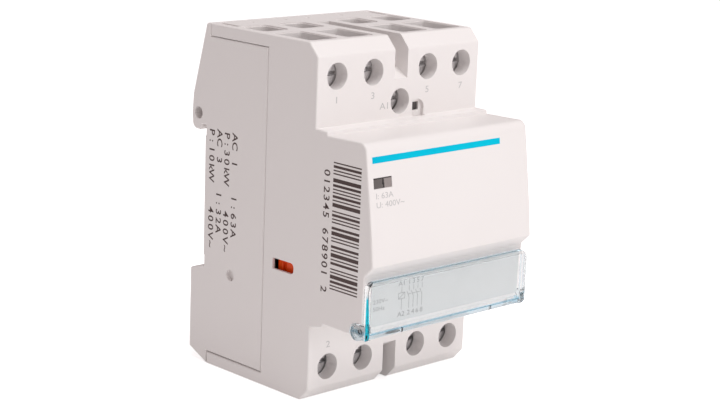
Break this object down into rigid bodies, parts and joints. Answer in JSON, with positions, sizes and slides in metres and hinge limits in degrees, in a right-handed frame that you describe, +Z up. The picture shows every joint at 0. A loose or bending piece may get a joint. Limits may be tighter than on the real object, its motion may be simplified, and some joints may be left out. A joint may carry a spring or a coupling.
{
  "type": "din rail contactor",
  "caption": "Boxy white rail-mounted contactor with a stepped nose, rows of sunk clamp screws, wire windows, clear hinged label cover and sprung rail clip",
  "frame": {"origin": "rail seat face, at the middle of the rail height and of the width", "axes": "+X to the right seen from the front, +Y into the wall behind the rail, +Z up"},
  "size_m": [0.0534, 0.065, 0.085],
  "materials": {
    "housing": "warm white moulded plastic, fine satin",
    "clear": "clear plastic with a faint blue tint at its edges",
    "card": "smooth printed card, no lettering in the record",
    "smoked": "smoked clear plastic",
    "clip": "warm white moulded plastic",
    "spring_steel": "bright spring steel",
    "lamination": "stacked electrical steel",
    "copper": "copper with silver contact tips",
    "rubber": "black rubber",
    "bobbin": "black glass filled nylon",
    "enamelled_wire": "enamelled copper wire",
    "orange": "orange moulded plastic",
    "flag": "pale moulded plastic",
    "zinc_steel": "zinc plated steel"
  },
  "bodies": {
    "housing": {"base_housing": "housing", "front_housing": "housing", "label_card": "card", "indicator_window": "smoked", "fixed_core": "lamination", "shading_rings": "copper", "core_buffer": "rubber", "coil_bobbin": "bobbin", "coil_winding": "enamelled_wire", "coil_leads": "enamelled_wire", "coil_strip_top": "copper", "coil_strip_bottom": "copper", "return_springs": "spring_steel", "rail_clip_spring": "spring_steel", "strip_top_1": "copper", "strip_top_2": "copper", "strip_top_3": "copper", "strip_top_4": "copper", "strip_bottom_1": "copper", "strip_bottom_2": "copper", "strip_bottom_3": "copper", "strip_bottom_4": "copper"},
    "cover": {"label_cover": "clear"},
    "clip": {"rail_clip": "clip"},
    "carrier": {"contact_carrier": "orange", "armature": "lamination", "armature_pin": "spring_steel", "state_flag": "flag", "contact_spring_1": "spring_steel", "contact_spring_2": "spring_steel", "contact_spring_3": "spring_steel", "contact_spring_4": "spring_steel"},
    "bridge_1": {"contact_bridge_1": "copper"},
    "bridge_2": {"contact_bridge_2": "copper"},
    "bridge_3": {"contact_bridge_3": "copper"},
    "bridge_4": {"contact_bridge_4": "copper"},
    "top_1_screw": {"screw_top_1": "zinc_steel"},
    "top_1_cage": {"cage_top_1": "zinc_steel"},
    "top_2_screw": {"screw_top_2": "zinc_steel"},
    "top_2_cage": {"cage_top_2": "zinc_steel"},
    "top_3_screw": {"screw_top_3": "zinc_steel"},
    "top_3_cage": {"cage_top_3": "zinc_steel"},
    "top_4_screw": {"screw_top_4": "zinc_steel"},
    "top_4_cage": {"cage_top_4": "zinc_steel"},
    "coil_top_screw": {"coil_screw_top": "zinc_steel"},
    "coil_top_cage": {"coil_cage_top": "zinc_steel"},
    "bottom_1_screw": {"screw_bottom_1": "zinc_steel"},
    "bottom_1_cage": {"cage_bottom_1": "zinc_steel"},
    "bottom_2_screw": {"screw_bottom_2": "zinc_steel"},
    "bottom_2_cage": {"cage_bottom_2": "zinc_steel"},
    "bottom_3_screw": {"screw_bottom_3": "zinc_steel"},
    "bottom_3_cage": {"cage_bottom_3": "zinc_steel"},
    "bottom_4_screw": {"screw_bottom_4": "zinc_steel"},
    "bottom_4_cage": {"cage_bottom_4": "zinc_steel"},
    "coil_bottom_screw": {"coil_screw_bottom": "zinc_steel"},
    "coil_bottom_cage": {"coil_cage_bottom": "zinc_steel"}
  },
  "joints": [
    {"name": "cover_hinge", "type": "hinge", "parent": "housing", "child": "cover", "pos_m": [0, -0.0554, -0.0213], "axis": [1, 0, 0], "range_deg": [0, 100]},
    {"name": "clip_slide", "type": "slide", "parent": "housing", "child": "clip", "axis": [0, 0, -1], "range_m": [0, 0.0035], "stiffness_N_per_m": 1500, "springref_m": -0.002, "deforming": ["rail_clip_spring"]},
    {"name": "carrier_slide", "type": "slide", "parent": "housing", "child": "carrier", "axis": [0, 1, 0], "range_m": [0, 0.004], "stiffness_N_per_m": 600, "springref_m": -0.004, "deforming": ["return_springs"]},
    {"name": "bridge_1_slide", "type": "slide", "parent": "carrier", "child": "bridge_1", "axis": [0, -1, 0], "range_m": [0, 0.0012], "stiffness_N_per_m": 1200, "springref_m": -0.001, "deforming": ["contact_spring_1"]},
    {"name": "bridge_2_slide", "type": "slide", "parent": "carrier", "child": "bridge_2", "axis": [0, -1, 0], "range_m": [0, 0.0012], "stiffness_N_per_m": 1200, "springref_m": -0.001, "deforming": ["contact_spring_2"]},
    {"name": "bridge_3_slide", "type": "slide", "parent": "carrier", "child": "bridge_3", "axis": [0, -1, 0], "range_m": [0, 0.0012], "stiffness_N_per_m": 1200, "springref_m": -0.001, "deforming": ["contact_spring_3"]},
    {"name": "bridge_4_slide", "type": "slide", "parent": "carrier", "child": "bridge_4", "axis": [0, -1, 0], "range_m": [0, 0.0012], "stiffness_N_per_m": 1200, "springref_m": -0.001, "deforming": ["contact_spring_4"]},
    {"name": "top_1_turn", "type": "hinge", "parent": "housing", "child": "top_1_screw", "pos_m": [-0.0205, -0.0356, 0.0346], "axis": [0, 1, 0], "range_deg": [0, 3605]},
    {"name": "top_1_lift", "type": "slide", "parent": "housing", "child": "top_1_cage", "axis": [0, -1, 0], "range_m": [0, 0.008]},
    {"name": "top_2_turn", "type": "hinge", "parent": "housing", "child": "top_2_screw", "pos_m": [-0.009, -0.0356, 0.0346], "axis": [0, 1, 0], "range_deg": [0, 3605]},
    {"name": "top_2_lift", "type": "slide", "parent": "housing", "child": "top_2_cage", "axis": [0, -1, 0], "range_m": [0, 0.008]},
    {"name": "top_3_turn", "type": "hinge", "parent": "housing", "child": "top_3_screw", "pos_m": [0.009, -0.0356, 0.0346], "axis": [0, 1, 0], "range_deg": [0, 3605]},
    {"name": "top_3_lift", "type": "slide", "parent": "housing", "child": "top_3_cage", "axis": [0, -1, 0], "range_m": [0, 0.008]},
    {"name": "top_4_turn", "type": "hinge", "parent": "housing", "child": "top_4_screw", "pos_m": [0.0205, -0.0356, 0.0346], "axis": [0, 1, 0], "range_deg": [0, 3605]},
    {"name": "top_4_lift", "type": "slide", "parent": "housing", "child": "top_4_cage", "axis": [0, -1, 0], "range_m": [0, 0.008]},
    {"name": "coil_top_turn", "type": "hinge", "parent": "housing", "child": "coil_top_screw", "pos_m": [0, -0.0356, 0.027], "axis": [0, 1, 0], "range_deg": [0, 2885]},
    {"name": "coil_top_lift", "type": "slide", "parent": "housing", "child": "coil_top_cage", "axis": [0, -1, 0], "range_m": [0, 0.0048]},
    {"name": "bottom_1_turn", "type": "hinge", "parent": "housing", "child": "bottom_1_screw", "pos_m": [-0.0205, -0.0356, -0.0346], "axis": [0, 1, 0], "range_deg": [0, 3605]},
    {"name": "bottom_1_lift", "type": "slide", "parent": "housing", "child": "bottom_1_cage", "axis": [0, -1, 0], "range_m": [0, 0.008]},
    {"name": "bottom_2_turn", "type": "hinge", "parent": "housing", "child": "bottom_2_screw", "pos_m": [-0.009, -0.0356, -0.0346], "axis": [0, 1, 0], "range_deg": [0, 3605]},
    {"name": "bottom_2_lift", "type": "slide", "parent": "housing", "child": "bottom_2_cage", "axis": [0, -1, 0], "range_m": [0, 0.008]},
    {"name": "bottom_3_turn", "type": "hinge", "parent": "housing", "child": "bottom_3_screw", "pos_m": [0.009, -0.0356, -0.0346], "axis": [0, 1, 0], "range_deg": [0, 3605]},
    {"name": "bottom_3_lift", "type": "slide", "parent": "housing", "child": "bottom_3_cage", "axis": [0, -1, 0], "range_m": [0, 0.008]},
    {"name": "bottom_4_turn", "type": "hinge", "parent": "housing", "child": "bottom_4_screw", "pos_m": [0.0205, -0.0356, -0.0346], "axis": [0, 1, 0], "range_deg": [0, 3605]},
    {"name": "bottom_4_lift", "type": "slide", "parent": "housing", "child": "bottom_4_cage", "axis": [0, -1, 0], "range_m": [0, 0.008]},
    {"name": "coil_bottom_turn", "type": "hinge", "parent": "housing", "child": "coil_bottom_screw", "pos_m": [0, -0.0356, -0.027], "axis": [0, 1, 0], "range_deg": [0, 2885]},
    {"name": "coil_bottom_lift", "type": "slide", "parent": "housing", "child": "coil_bottom_cage", "axis": [0, -1, 0], "range_m": [0, 0.0048]}
  ],
  "couplings": [
    {"joint": "top_1_turn", "follows": "top_1_lift", "rad_per_m": 7854},
    {"joint": "top_2_turn", "follows": "top_2_lift", "rad_per_m": 7854},
    {"joint": "top_3_turn", "follows": "top_3_lift", "rad_per_m": 7854},
    {"joint": "top_4_turn", "follows": "top_4_lift", "rad_per_m": 7854},
    {"joint": "coil_top_turn", "follows": "coil_top_lift", "rad_per_m": 10472},
    {"joint": "bottom_1_turn", "follows": "bottom_1_lift", "rad_per_m": 7854},
    {"joint": "bottom_2_turn", "follows": "bottom_2_lift", "rad_per_m": 7854},
    {"joint": "bottom_3_turn", "follows": "bottom_3_lift", "rad_per_m": 7854},
    {"joint": "bottom_4_turn", "follows": "bottom_4_lift", "rad_per_m": 7854},
    {"joint": "coil_bottom_turn", "follows": "coil_bottom_lift", "rad_per_m": 10472}
  ]
}
